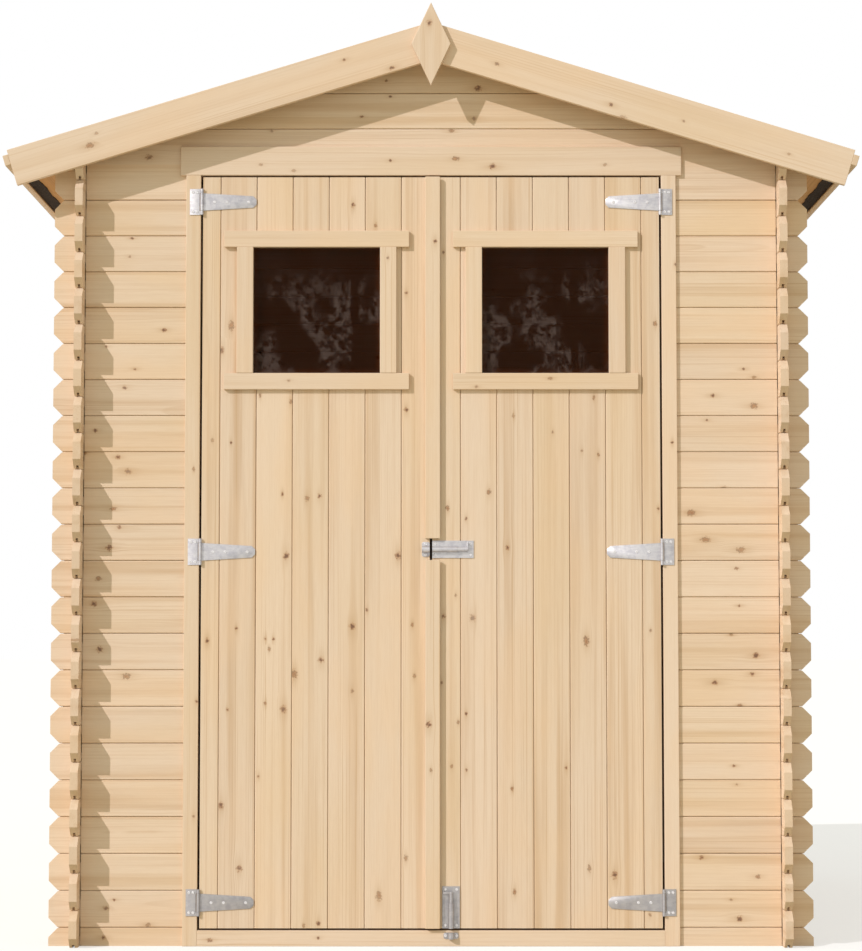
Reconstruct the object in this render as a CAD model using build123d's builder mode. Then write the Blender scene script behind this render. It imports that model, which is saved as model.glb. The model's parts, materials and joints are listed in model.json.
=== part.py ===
from build123d import *
import os
from math import cos, radians, sin, tan

# Wooden garden shed of interlocking boards, with a double door and a felted roof.
# Millimetres. X runs along the front wall, Y from front to back, Z up from the ground.
# The origin is on the ground, in the middle of the shed.

# Walls
course = 88.0  # cover height of one wall board
side_courses = 22  # whole boards in a side wall
wall = 19.0  # board thickness
house_width = 1724.0  # over the two side walls
house_depth = 1788.0  # over the front and back walls
tip_length = 56.0  # board ends past the crossing wall
tip_cut = 23.0  # chamfer on the corners of a board end

# Roof
pitch = 17.0  # slope of the roof in degrees
eave_trim = 2.0  # planed off a side wall's top board where the roof rests on its outer face
eave_overhang = 155.5  # level distance from side wall to the edge of the roof boards
roof_board = 16.0
felt = 2.5
felt_tuck = 36.0  # felt turned in under the eave
purlin_width = 40.0
purlin_depth = 58.0  # purlin's lower face below the peak of the roof's underside
barge_width = 90.0
barge_thick = 14.0
barge_rise = 11.0  # bargeboard above the felt
lath_height = 26.0
lath_thick = 14.0
finial_width = 95.0
finial_height = 203.0
finial_rise = 45.0  # finial's tip above the bargeboards' peak
finial_thick = 14.0

# Door frame and floor
door_width = 1122.0  # between the jambs
frame_lip = 8.0  # frame in front of the wall and behind it
jamb_width = 36.0
jamb_web = 17.0
wall_end_gap = 1.0  # wall boards to the bottom of the jamb's groove
head_web = 28.0
head_height = 71.0
head_reach = 50.0  # head past the opening on each side
joist_height = 22.0
joist_width = 45.0
joist_spacing = 398.0
joist_count = 5
floor_board = 16.0
floor_gap = 3.0  # floor to the inner faces of the walls

# Door leaves
leaf_thick = 16.0
leaf_gap = 5.0  # leaf to head and to threshold
jamb_gap = 5.5  # leaf to jamb
meeting_gap = 6.0  # between the leaves
ledge_height = 60.0
ledge_thick = 16.0
ledge_inset = 20.0  # ledge from the leaf's long edges
window_size = 308.0
window_drop = 326.5  # window's middle below the top of the leaf
window_offset = 278.0  # window's middle from the middle of the doorway
trim_width = 40.0
rail_length = 450.0
rail_thick = 10.0
stile_thick = 11.0
glass_thick = 4.0
glass_recess = 6.0  # glass behind the leaf's face
strip_width = 36.0
strip_overlap = 22.0  # strip past the middle of the doorway
strip_thick = 12.0
strip_rebate = 5.0  # strip's clearance over the other leaf
strip_notch = 52.0  # strip left out at the middle bolt

# Ironmongery
plate_thick = 2.0
pin_radius = 2.0
pin_clearance = 0.1
knuckle_radius = 4.0
knuckle_gap = 0.5  # between knuckles along the pin
knuckle_relief = 1.5  # hinge plate to the strap's knuckle
hinge_plate_width = 27.0  # over the jamb, from its inner edge
hinge_plate_height = 64.0
strap_length = 133.0  # from the pin to the tip
strap_root = 43.0
strap_tip = 28.0
strap_corner = 8.0
hinge_inset = 61.0  # hinge's middle from the leaf's top and bottom
middle_hinge_drop = 6.0  # middle hinge below the leaf's middle
rod_radius = 4.75
rod_clearance = 0.1  # rod in its barrel
rod_lift = 0.8  # rod in front of its plate
barrel_wall = 1.6
barrel_length = 60.0
bolt_plate_length = 100.0
bolt_plate_width = 42.0
bolt_travel = 22.0
knob_gap = 1.0  # knob to the barrel when the bolt is shot
knob_thick = 4.0
knob_reach = 19.0
knob_width = 5.0
keeper_length = 19.0
keeper_width = 36.0
keeper_wall = 1.8
keeper_clearance = 1.0  # rod in the keeper
keeper_drop = 10.0  # lower keeper below the leaf's edge
bottom_bolt_offset = 48.0  # lower bolt from the middle of the doorway
floor_keeper_length = 15.0

# Places worked out from the sizes above
front = -house_depth / 2
back = house_depth / 2
side = house_width / 2
side_reach = side + tip_length
end_reach = back + tip_length
slope = tan(radians(pitch))
eave_height = side_courses * course - eave_trim
peak = eave_height + slope * side
sky = peak + course  # any height clear above the roof
slope_length = (side + eave_overhang) / cos(radians(pitch))
board_length = slope_length - felt
felt_top = roof_board + felt
barge_top = felt_top + barge_rise
gable_low = (side_courses - 0.5) * course
head_low = gable_low - head_web
opening_side = door_width / 2
wall_end = opening_side + jamb_web + wall_end_gap
floor_top = joist_height + floor_board
leaf_low = floor_top + leaf_gap
leaf_high = head_low - leaf_gap
leaf_middle = (leaf_low + leaf_high) / 2
leaf_outer = opening_side - jamb_gap
leaf_inner = meeting_gap / 2
leaf_face = front - frame_lip
leaf_back = leaf_face + leaf_thick
window_middle = leaf_high - window_drop
pin_side = (opening_side + leaf_outer) / 2
pin_front = leaf_face - knuckle_radius
hinge_levels = [leaf_low + hinge_inset, leaf_middle - middle_hinge_drop, leaf_high - hinge_inset]
rod_height = plate_thick + rod_lift + rod_radius
barrel_radius = rod_radius + rod_clearance + barrel_wall
keeper_bore = rod_radius + keeper_clearance
keeper_radius = keeper_bore + keeper_wall
floor_keeper_top = leaf_low - keeper_drop

# Board joints in the front and back walls, half a board out of step with the side walls
front_joints = [(n + 0.5) * course for n in range(side_courses)]
side_joints = [(n + 1) * course for n in range(side_courses - 1)]


def upright(y):
    # A plane facing the front of the shed at depth y.
    return Plane.XZ.offset(-y)


def block(low, high, mode=Mode.ADD):
    # A box between two opposite corners.
    sizes = [b - a for a, b in zip(low, high)]
    with Locations(Vector(*low) + Vector(*sizes) * 0.5):
        Box(*sizes, mode=mode)


def prism(points, plane, depth, mode=Mode.ADD):
    # A straight-sided outline drawn on a plane and pushed out along its normal.
    with BuildSketch(plane) as outline:
        with BuildLine():
            Polyline(points, close=True)
        make_face()
    extrude(outline.sketch, amount=depth, mode=mode)


def cylinder(plane, radius, length, mode=Mode.ADD):
    # A round bar that starts on a plane and runs along its normal.
    with BuildSketch(plane) as outline:
        Circle(radius)
    extrude(outline.sketch, amount=length, mode=mode)


def write(part, label):
    part.label = label
    export_step(part, f"parts/{label}.step")


def on_slope(along, rise, way):
    # A point of the roof's section: along the slope from the peak, then square to it.
    angle = radians(pitch)
    x = along * cos(angle) + rise * sin(angle)
    return (way * x, peak - along * sin(angle) + rise * cos(angle))


def above_peak(rise):
    # Where a layer of the roof reaches the middle of the shed.
    return (0, peak + rise / cos(radians(pitch)))


def cut_to_roof(mode=Mode.SUBTRACT):
    # Takes away everything above the underside of the roof boards.
    reach = side_reach + course
    low = peak - slope * reach
    points = [(-reach, low), (0, peak), (reach, low), (reach, sky), (-reach, sky)]
    prism(points, upright(end_reach), 2 * end_reach, mode)


def board_ends(reach, joints, low, high, low_cut, high_cut):
    # The notched edge of a wall where its boards end, from the lowest point up.
    points = [(reach, low)]
    if low_cut:
        points = [(reach - tip_cut, low), (reach, low + tip_cut)]
    for joint in joints:
        points += [(reach, joint - tip_cut), (reach - tip_cut, joint), (reach, joint + tip_cut)]
    if high_cut:
        return points + [(reach, high - tip_cut), (reach - tip_cut, high)]
    return points + [(reach, high)]


def mirrored(points):
    return [(-x, z) for x, z in reversed(points)]


def cut_halvings(plane, middle, levels):
    # Half of each board's height is given up where the other wall's boards cross.
    with BuildSketch(plane) as halvings:
        with Locations(*[(middle, level) for level in levels]):
            Rectangle(wall, course / 2)
    extrude(halvings.sketch, amount=wall, mode=Mode.SUBTRACT)


def front_wall(way, label):
    low_joints = [joint for joint in front_joints if joint < gable_low]
    edge = board_ends(side_reach, low_joints, 0, gable_low, False, True)
    outline = edge + [(wall_end, gable_low), (wall_end, 0)]
    with BuildPart() as panel:
        prism([(way * x, z) for x, z in outline], upright(front + wall), wall)
        cut_halvings(upright(front + wall), way * (side - wall / 2), front_joints)
    write(panel.part, label)


def gable(y, joints, low, low_cut, label):
    # An end wall from a given height up to the roof, notched for the ridge purlin.
    edge = board_ends(side_reach, joints, low, sky, low_cut, False)
    with BuildPart() as panel:
        prism(edge + mirrored(edge), upright(y), wall)
        for way in (-1, 1):
            cut_halvings(upright(y), way * (side - wall / 2), front_joints)
        cut_to_roof()
        block(
            (-purlin_width / 2, y - wall, peak - purlin_depth),
            (purlin_width / 2, y, sky),
            mode=Mode.SUBTRACT,
        )
    write(panel.part, label)


def side_wall(way, label):
    edge = board_ends(end_reach, side_joints, 0, sky, True, False)
    inner = side - wall
    plane = Plane.YZ.offset(inner if way > 0 else -side)
    with BuildPart() as panel:
        prism(edge + mirrored(edge), plane, wall)
        for y in (front + wall / 2, back - wall / 2):
            cut_halvings(plane, y, [n * course for n in range(side_courses + 1)])
        cut_to_roof()
    write(panel.part, label)


def door_jamb(way, label):
    # A grooved post that grips the ends of the front wall's boards.
    near = opening_side
    far = opening_side + jamb_width
    groove = opening_side + jamb_web
    face = leaf_face
    rear = front + wall + frame_lip
    points = [
        (near, face), (far, face), (far, front), (groove, front),
        (groove, front + wall), (far, front + wall), (far, rear), (near, rear),
    ]
    with BuildPart() as jamb:
        prism([(way * x, y) for x, y in points], Plane.XY, head_low)
    write(jamb.part, label)


def door_head():
    # The head sits on the jambs and holds the gable's lowest board in its groove.
    lip_reach = opening_side + head_reach
    web_reach = opening_side + jamb_web
    with BuildPart() as head:
        block((-lip_reach, leaf_face, head_low), (lip_reach, front, head_low + head_height))
        block((-web_reach, front, head_low), (web_reach, front + wall, gable_low))
        block(
            (-lip_reach, front + wall, head_low),
            (lip_reach, front + wall + frame_lip, head_low + head_height),
        )
    write(head.part, "door_head")


def door_threshold():
    with BuildPart() as threshold:
        block(
            (-opening_side, leaf_face, 0),
            (opening_side, front + wall + frame_lip, floor_top),
        )
    write(threshold.part, "door_threshold")


def shed_floor():
    near = front + wall + frame_lip
    far = back - wall - floor_gap
    reach = side - wall - floor_gap
    with BuildPart() as joists:
        for n in range(joist_count):
            x = (n - (joist_count - 1) / 2) * joist_spacing
            block((x - joist_width / 2, near, 0), (x + joist_width / 2, far, joist_height))
    write(joists.part, "floor_joists")
    with BuildPart() as boards:
        block((-reach, near, joist_height), (reach, far, floor_top))
    write(boards.part, "floor_boards")


def ridge_purlin():
    half = purlin_width / 2
    with BuildPart() as purlin:
        block((-half, -end_reach, peak - purlin_depth), (half, end_reach, sky))
        cut_to_roof()
    write(purlin.part, "ridge_purlin")


def roof_boards(way, label):
    points = [
        above_peak(0), on_slope(board_length, 0, way),
        on_slope(board_length, roof_board, way), above_peak(roof_board),
    ]
    with BuildPart() as boards:
        prism(points, upright(end_reach), 2 * end_reach)
    write(boards.part, label)


def roof_felt():
    # One sheet over the ridge, turned round both eaves and tucked in underneath.
    under = [
        on_slope(board_length - felt_tuck, 0, 1),
        on_slope(board_length - felt_tuck, -felt, 1),
        on_slope(slope_length, -felt, 1),
        on_slope(slope_length, felt_top, 1),
    ]
    over = [on_slope(board_length, roof_board, 1), on_slope(board_length, 0, 1)]
    points = under + [above_peak(felt_top)] + mirrored(under)
    points += mirrored(over) + [above_peak(roof_board)] + over
    with BuildPart() as sheet:
        prism(points, upright(end_reach), 2 * end_reach)
    write(sheet.part, "roof_felt")


def eave_lath(way, label):
    low = felt_top - lath_height
    far = slope_length + lath_thick
    points = [
        on_slope(slope_length, low, way), on_slope(far, low, way),
        on_slope(far, felt_top, way), on_slope(slope_length, felt_top, way),
    ]
    reach = end_reach + barge_thick
    with BuildPart() as lath:
        prism(points, upright(reach), 2 * reach)
    write(lath.part, label)


def bargeboard(way, y, label):
    # A board down one slope, cut upright at the ridge and square at the eave.
    low = barge_top - barge_width
    points = [
        above_peak(low), on_slope(slope_length, low, way),
        on_slope(slope_length, barge_top, way), above_peak(barge_top),
    ]
    with BuildPart() as board:
        prism(points, upright(y), barge_thick)
    write(board.part, label)


def finial(y, label):
    top = above_peak(barge_top)[1] + finial_rise
    middle = top - finial_height / 2
    half = finial_width / 2
    points = [(0, top), (half, middle), (0, top - finial_height), (-half, middle)]
    with BuildPart() as rhombus:
        prism(points, upright(y), finial_thick)
    write(rhombus.part, label)


def hinge_plates(way, label):
    # Plates on the jamb, each with two end knuckles and the pin through all three.
    outer = opening_side + hinge_plate_width
    half = hinge_plate_height / 2
    middle = strap_root / 2 + knuckle_gap
    end_length = half - middle
    relief = pin_side + knuckle_radius + knuckle_relief
    with BuildPart() as plates:
        for level in hinge_levels:
            points = [
                (outer, level - half), (pin_side, level - half), (pin_side, level - middle),
                (relief, level - middle), (relief, level + middle), (pin_side, level + middle),
                (pin_side, level + half), (outer, level + half),
            ]
            prism([(way * x, z) for x, z in points], upright(leaf_face), plate_thick)
            axis = Plane(origin=(way * pin_side, pin_front, level - half), z_dir=(0, 0, 1))
            cylinder(axis, knuckle_radius, end_length)
            cylinder(axis.offset(hinge_plate_height - end_length), knuckle_radius, end_length)
            cylinder(axis, pin_radius, hinge_plate_height)
    write(plates.part, label)


def hinge_straps(way, label):
    # Tapered straps on the leaf, each rolled round its pin.
    root = strap_root / 2
    tip = strap_tip / 2
    far = pin_side - strap_length
    with BuildPart() as straps:
        for level in hinge_levels:
            points = [
                (pin_side, level - root), (pin_side, level + root), (far + strap_corner, level + tip),
                (far, level + tip - strap_corner), (far, level - tip + strap_corner),
                (far + strap_corner, level - tip),
            ]
            prism([(way * x, z) for x, z in points], upright(leaf_face), plate_thick)
            axis = Plane(origin=(way * pin_side, pin_front, level - root), z_dir=(0, 0, 1))
            cylinder(axis, knuckle_radius, strap_root)
            cylinder(axis, pin_radius + pin_clearance, strap_root, mode=Mode.SUBTRACT)
    write(straps.part, label)


def door_leaf(way, name):
    # One leaf: panel with its window cut through, ledges behind, trim round the glass.
    half = window_size / 2
    centre = way * window_offset
    low = window_middle - half
    high = window_middle + half
    near = min(way * leaf_inner, way * leaf_outer)
    far = max(way * leaf_inner, way * leaf_outer)
    with BuildPart() as panel:
        block((near, leaf_face, leaf_low), (far, leaf_back, leaf_high))
        block(
            (centre - half, leaf_face, low),
            (centre + half, leaf_back, high),
            mode=Mode.SUBTRACT,
        )
    write(panel.part, f"{name}_door_panel")

    with BuildPart() as ledges:
        for level in hinge_levels:
            block(
                (near + ledge_inset, leaf_back, level - ledge_height / 2),
                (far - ledge_inset, leaf_back + ledge_thick, level + ledge_height / 2),
            )
    write(ledges.part, f"{name}_door_ledges")

    with BuildPart() as rails:
        for base in (low - trim_width, high):
            block(
                (centre - rail_length / 2, leaf_face - rail_thick, base),
                (centre + rail_length / 2, leaf_face, base + trim_width),
            )
    write(rails.part, f"{name}_window_rails")

    with BuildPart() as stiles:
        for base in (centre - half - trim_width, centre + half):
            block(
                (base, leaf_face - stile_thick, low),
                (base + trim_width, leaf_face, high),
            )
    write(stiles.part, f"{name}_window_stiles")

    with BuildPart() as glass:
        block(
            (centre - half, leaf_face + glass_recess, low),
            (centre + half, leaf_face + glass_recess + glass_thick, high),
        )
    write(glass.part, f"{name}_window_glass")


def meeting_strip():
    # Fixed to the left leaf and rebated where it passes over the right one.
    notch_low = leaf_middle - strip_notch / 2
    notch_high = leaf_middle + strip_notch / 2
    left = strip_overlap - strip_width
    with BuildPart() as strip:
        for low, high in ((leaf_low, notch_low), (notch_high, leaf_high)):
            block((left, leaf_face - strip_thick, low), (strip_overlap, leaf_face, high))
            block(
                (-leaf_inner, leaf_face - strip_rebate, low),
                (strip_overlap, leaf_face, high),
                mode=Mode.SUBTRACT,
            )
    write(strip.part, "meeting_strip")


def rod_end(place):
    # The plane across a rod at its plate's end, with x across the plate.
    origin = place.from_local_coords((0, 0, rod_height))
    return Plane(origin=origin, x_dir=place.y_dir, z_dir=place.x_dir)


def plate_outline(length, half_width):
    return [(0, -half_width), (length, -half_width), (length, half_width), (0, half_width)]


def bolt_plate(place, label):
    # The place's x runs from the bolt's mouth along the rod, its z points away from the leaf.
    end = rod_end(place)
    with BuildPart() as plate:
        prism(plate_outline(bolt_plate_length, bolt_plate_width / 2), place, plate_thick)
        prism(plate_outline(barrel_length, barrel_radius), place, rod_height)
        cylinder(end, barrel_radius, barrel_length)
        cylinder(end, rod_radius + rod_clearance, barrel_length, mode=Mode.SUBTRACT)
    write(plate.part, label)


def bolt_rod(place, label):
    # Drawn back: its nose is level with the edge of the leaf.
    knob_near = barrel_length + bolt_travel + knob_gap
    length = knob_near + knob_thick
    knob = [(knob_near, 0), (length, 0), (length, knob_reach), (knob_near, knob_reach)]
    with BuildPart() as rod:
        cylinder(rod_end(place), rod_radius, length)
        prism(knob, place.offset(rod_height - knob_width / 2), knob_width)
    write(rod.part, label)


def keeper(place, length, label):
    # A plate with an arched loop for the rod; the place's x is along the rod.
    end = rod_end(place)
    with BuildPart() as loop:
        prism(plate_outline(length, keeper_width / 2), place, plate_thick)
        prism(plate_outline(length, keeper_radius), place, rod_height)
        cylinder(end, keeper_radius, length)
        cylinder(end, keeper_bore, length, mode=Mode.SUBTRACT)
        prism(
            plate_outline(length, keeper_bore),
            place.offset(plate_thick),
            rod_height - plate_thick,
            mode=Mode.SUBTRACT,
        )
    write(loop.part, label)


def main():
    os.makedirs("parts", exist_ok=True)
    front_wall(-1, "front_wall_left")
    front_wall(1, "front_wall_right")
    gable(front + wall, [], gable_low, True, "front_gable")
    gable(back, front_joints, 0, False, "back_wall")
    side_wall(-1, "left_wall")
    side_wall(1, "right_wall")

    door_jamb(-1, "door_jamb_left")
    door_jamb(1, "door_jamb_right")
    door_head()
    door_threshold()
    shed_floor()

    ridge_purlin()
    roof_boards(-1, "roof_boards_left")
    roof_boards(1, "roof_boards_right")
    roof_felt()
    eave_lath(-1, "eave_lath_left")
    eave_lath(1, "eave_lath_right")
    for way, name in ((-1, "left"), (1, "right")):
        bargeboard(way, -end_reach, f"bargeboard_front_{name}")
        bargeboard(way, end_reach + barge_thick, f"bargeboard_back_{name}")
        hinge_plates(way, f"{name}_hinge_plates")
        hinge_straps(way, f"{name}_hinge_straps")
        door_leaf(way, name)
    finial(-end_reach - barge_thick, "finial_front")
    finial(end_reach + barge_thick + finial_thick, "finial_back")

    meeting_strip()
    middle_place = Plane(
        origin=(leaf_inner, leaf_face, leaf_middle), x_dir=(1, 0, 0), z_dir=(0, -1, 0)
    )
    bolt_plate(middle_place, "middle_bolt_plate")
    bolt_rod(middle_place, "middle_bolt_rod")
    bottom_place = Plane(
        origin=(bottom_bolt_offset, leaf_face, leaf_low), x_dir=(0, 0, 1), z_dir=(0, -1, 0)
    )
    bolt_plate(bottom_place, "bottom_bolt_plate")
    bolt_rod(bottom_place, "bottom_bolt_rod")
    leaf_keeper_place = Plane(
        origin=(-leaf_inner - keeper_length, leaf_face, leaf_middle),
        x_dir=(1, 0, 0),
        z_dir=(0, -1, 0),
    )
    keeper(leaf_keeper_place, keeper_length, "bolt_keeper")
    floor_keeper_place = Plane(
        origin=(bottom_bolt_offset, leaf_face, floor_keeper_top - floor_keeper_length),
        x_dir=(0, 0, 1),
        z_dir=(0, -1, 0),
    )
    keeper(floor_keeper_place, floor_keeper_length, "threshold_keeper")


main()
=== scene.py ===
import json
import math
import random

import bmesh
import bpy
from mathutils import Matrix, Vector
from mathutils.kdtree import KDTree


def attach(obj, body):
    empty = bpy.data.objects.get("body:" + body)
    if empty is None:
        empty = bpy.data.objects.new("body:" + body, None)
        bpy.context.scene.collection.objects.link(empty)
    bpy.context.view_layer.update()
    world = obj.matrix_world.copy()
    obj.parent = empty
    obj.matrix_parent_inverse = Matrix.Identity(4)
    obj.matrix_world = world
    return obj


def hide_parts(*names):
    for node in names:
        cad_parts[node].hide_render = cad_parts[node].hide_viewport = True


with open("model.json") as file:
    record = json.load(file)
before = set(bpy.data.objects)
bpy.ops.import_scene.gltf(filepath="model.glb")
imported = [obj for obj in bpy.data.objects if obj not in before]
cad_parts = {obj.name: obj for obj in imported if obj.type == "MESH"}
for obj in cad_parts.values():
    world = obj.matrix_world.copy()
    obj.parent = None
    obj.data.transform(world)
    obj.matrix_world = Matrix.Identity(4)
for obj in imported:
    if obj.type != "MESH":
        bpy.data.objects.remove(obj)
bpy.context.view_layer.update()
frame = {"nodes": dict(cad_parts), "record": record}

# Wooden garden shed: every board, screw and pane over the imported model, in metres.
record = frame["record"]
bodyOf = {node: body for body, nodes in record["behaviour"]["bodies"].items() for node in nodes}
slotOf = {part["node"]: part["material_slot"] for part in record["subparts"]}
xAxis, yAxis, zAxis = Vector((1, 0, 0)), Vector((0, 1, 0)), Vector((0, 0, 1))
pitch = math.radians(17)
ridgeLevel = 2.19754  # top of the roof boards at the ridge
course = 0.088  # cover height of a wall board
samePlace = 1e-5  # places nearer than this are one
samePlane = 1e-6
chance = random.Random(11)


# Camera

photoView = {
    "place": (0.0, -6.9716, 0.7537),
    "tilt": 93.547,  # degrees from straight down
    "lens": 95.03,
    "sensor": 36,
    "farthest": 200,
}


def addCamera(view):
    camera = bpy.data.objects.new("photoCamera", bpy.data.cameras.new("photoCamera"))
    camera.location = view["place"]
    camera.rotation_euler = (math.radians(view["tilt"]), 0, 0)
    camera.data.lens = view["lens"]
    camera.data.sensor_width = view["sensor"]
    camera.data.clip_end = view["farthest"]
    bpy.context.scene.collection.objects.link(camera)
    bpy.context.scene.camera = camera


addCamera(photoView)
print("camera in place")


# Nodes for the materials

def paint(red, green, blue):
    # a screen colour, 0 to 255, in Blender's linear values
    linear = [((c / 255 + 0.055) / 1.055) ** 2.4 for c in (red, green, blue)]
    return (*linear, 1.0)


def newMaterial(name):
    material = bpy.data.materials.new(name)
    material.use_nodes = True
    tree = material.node_tree
    tree.nodes.clear()
    output = tree.nodes.new("ShaderNodeOutputMaterial")
    shader = tree.nodes.new("ShaderNodeBsdfPrincipled")
    tree.links.new(shader.outputs["BSDF"], output.inputs["Surface"])
    return material, tree, shader


def feed(tree, socket, value):
    if isinstance(value, bpy.types.NodeSocket):
        tree.links.new(value, socket)
    else:
        socket.default_value = value


def calc(tree, operation, first, second=0.0, third=0.0, clamp=False):
    node = tree.nodes.new("ShaderNodeMath")
    node.operation = operation
    node.use_clamp = clamp
    for socket, value in zip(node.inputs, (first, second, third)):
        feed(tree, socket, value)
    return node.outputs[0]


def times(tree, first, second):
    return calc(tree, "MULTIPLY", first, second)


def distance(tree, first, second):
    # how far a point is whose two distances are given
    squares = [calc(tree, "POWER", calc(tree, "ABSOLUTE", side), 2.0) for side in (first, second)]
    return calc(tree, "SQRT", calc(tree, "ADD", *squares))


def stretch(tree, place, amounts):
    node = tree.nodes.new("ShaderNodeVectorMath")
    node.operation = "MULTIPLY"
    feed(tree, node.inputs[0], place)
    node.inputs[1].default_value = amounts
    return node.outputs[0]


def parts(tree, vector):
    node = tree.nodes.new("ShaderNodeSeparateXYZ")
    feed(tree, node.inputs[0], vector)
    return node.outputs[0], node.outputs[1], node.outputs[2]


def noise(tree, place, scale=1.0, detail=2.0, roughness=0.5):
    node = tree.nodes.new("ShaderNodeTexNoise")
    feed(tree, node.inputs["Vector"], place)
    node.inputs["Scale"].default_value = scale
    node.inputs["Detail"].default_value = detail
    node.inputs["Roughness"].default_value = roughness
    return node.outputs[0]


def lineNoise(tree, value, scale):
    # noise that changes along one line only
    node = tree.nodes.new("ShaderNodeTexNoise")
    node.noise_dimensions = "1D"
    feed(tree, node.inputs["W"], value)
    node.inputs["Scale"].default_value = scale
    node.inputs["Detail"].default_value = 1.0
    return node.outputs[0]


def spread(tree, value, low, high, first=0.0, last=1.0):
    # goes smoothly from the first amount to the last as the value goes from low to high
    node = tree.nodes.new("ShaderNodeMapRange")
    node.interpolation_type = "SMOOTHSTEP"
    feed(tree, node.inputs["Value"], value)
    for name, amount in (("From Min", low), ("From Max", high), ("To Min", first), ("To Max", last)):
        node.inputs[name].default_value = amount
    return node.outputs[0]


def blend(tree, factor, first, second):
    node = tree.nodes.new("ShaderNodeMix")
    node.data_type = "RGBA"
    feed(tree, node.inputs[0], factor)
    feed(tree, node.inputs[6], first)
    feed(tree, node.inputs[7], second)
    return node.outputs[2]


def ramp(tree, value, stops):
    node = tree.nodes.new("ShaderNodeValToRGB")
    feed(tree, node.inputs[0], value)
    elements = node.color_ramp.elements
    while len(elements) < len(stops):
        elements.new(0.5)
    for element, (place, colour) in zip(elements, stops):
        element.position = place
        element.color = colour
    return node.outputs[0]


def attribute(tree, name):
    node = tree.nodes.new("ShaderNodeAttribute")
    node.attribute_name = name
    return node.outputs["Vector"]


def bump(tree, shader, height, strength, distance):
    node = tree.nodes.new("ShaderNodeBump")
    node.inputs["Strength"].default_value = strength
    node.inputs["Distance"].default_value = distance
    feed(tree, node.inputs["Height"], height)
    tree.links.new(node.outputs[0], shader.inputs["Normal"])


def seenDirectly(tree):
    # 1 where the camera, a reflection or a pane shows the surface, else 0
    path = tree.nodes.new("ShaderNodeLightPath")
    seen = calc(tree, "ADD", path.outputs["Is Camera Ray"], path.outputs["Is Glossy Ray"])
    return calc(tree, "ADD", seen, path.outputs["Is Transmission Ray"], clamp=True)


# Spruce boards. Each board carries its own place along, across and through the trunk ("grain"),
# the middle and size of its nearest knot ("knot"), how dark that knot is, how far a face cuts
# across the grain and whether the knot is solid or ringed ("sawn"), and its own lightness, warmth
# and figure ("tone").

woodLooks = {
    "wall_boards": {
        "pale": (232, 210, 188), "late": (200, 165, 127), "rings": 0.4, "streaks": 0.58, "rough": 0.55,
    },
    "door_boards": {
        "pale": (231, 209, 187), "late": (199, 164, 127), "rings": 0.37, "streaks": 0.58, "rough": 0.55,
    },
    "planed_trim": {
        "pale": (231, 209, 187), "late": (206, 173, 136), "rings": 0.25, "streaks": 0.42, "rough": 0.5,
    },
    "sawn_boards": {
        "pale": (214, 168, 112), "late": (176, 122, 70), "rings": 0.4, "streaks": 0.62, "rough": 0.7,
    },
}
grainLook = {
    "years": 190, "unevenYears": 3.0,  # rings in a metre, and how unevenly they lie
    "sway": 0.03, "shiver": 0.003,  # metres that the rings swing, slowly and quickly
    "bend": -0.75,  # how far the rings bend round a knot
    "pinker": (234, 202, 168), "yellower": (223, 195, 158), "endGrain": (212, 186, 160),
    "hue": 0.002, "saturation": 0.035, "value": 0.025,  # how far one board differs from the next
    "gloss": 0.3, "relief": 0.35, "reliefHeight": 0.0004,
}
knotLook = {
    "heart": (92, 52, 34), "ring": (142, 92, 62), "rim": (184, 140, 102), "halo": (184, 146, 102),
    "haloDepth": 0.5, "ringed": 0.6,  # knots above this kind have a pale heart in a dark ring
}


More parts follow.
